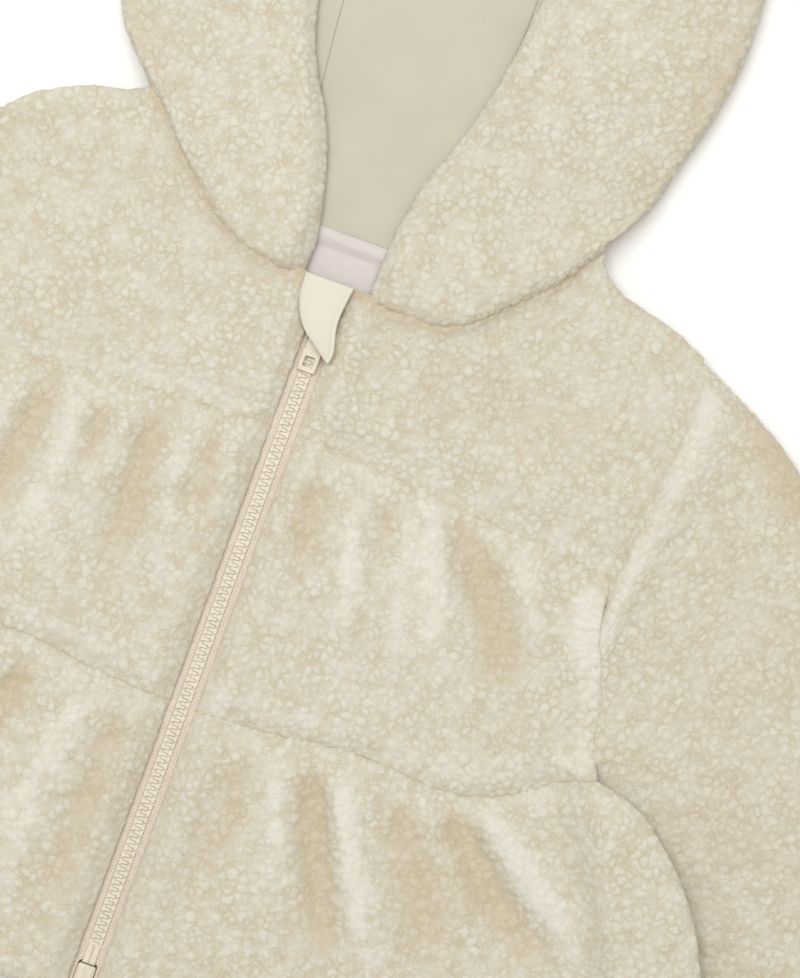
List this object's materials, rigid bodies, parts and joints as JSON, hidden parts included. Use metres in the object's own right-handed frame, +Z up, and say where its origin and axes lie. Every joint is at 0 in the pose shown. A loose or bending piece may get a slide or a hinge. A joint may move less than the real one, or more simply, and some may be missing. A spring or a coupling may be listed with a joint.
{
  "type": "sherpa jacket",
  "caption": "Child's hooded fleece jacket laid flat, front up, with gathered tiers, a flared hem, a closed zip and a cotton-lined hood.",
  "frame": {"origin": "on the surface the jacket lies on, in the middle of its outline, below the top of the zip", "axes": "+X to the wearer's left, +Y from the hem to the hood, +Z up out of the jacket's front"},
  "size_m": [0.644, 0.572, 0.0317],
  "materials": {
    "fleece": "cream boucle pile, matte",
    "lining_cotton": "smooth plain cotton",
    "guard_cotton": "smooth brushed cotton",
    "label_tape": "woven satin tape, bare",
    "zip_tape": "woven zip tape",
    "zip_plastic": "moulded, satin"
  },
  "bodies": {
    "garment": {"back_yoke": "fleece", "back_middle_tier": "fleece", "back_lower_tier": "fleece", "front_yoke_left": "fleece", "front_yoke_right": "fleece", "front_middle_tier_left": "fleece", "front_middle_tier_right": "fleece", "front_lower_tier_left": "fleece", "front_lower_tier_right": "fleece", "sleeve_left": "fleece", "sleeve_right": "fleece", "hood_side_left": "fleece", "hood_side_right": "fleece", "hood_centre": "fleece", "hood_lining_centre": "lining_cotton", "hood_lining_side_left": "lining_cotton", "hood_lining_side_right": "lining_cotton", "chin_guard": "guard_cotton", "neck_label": "label_tape", "zip_tape_left": "zip_tape", "zip_tape_right": "zip_tape", "zip_chain": "zip_plastic", "zip_slider": "zip_plastic", "zip_bottom_box": "zip_plastic"},
    "pull_tab": {"zip_pull_tab": "zip_plastic"}
  },
  "joints": [
    {"name": "tab_hinge", "type": "hinge", "parent": "garment", "child": "pull_tab", "pos_m": [0.0006, 0.013, 0.0114], "axis": [-1, 0, 0], "range_deg": [0, 20]}
  ]
}
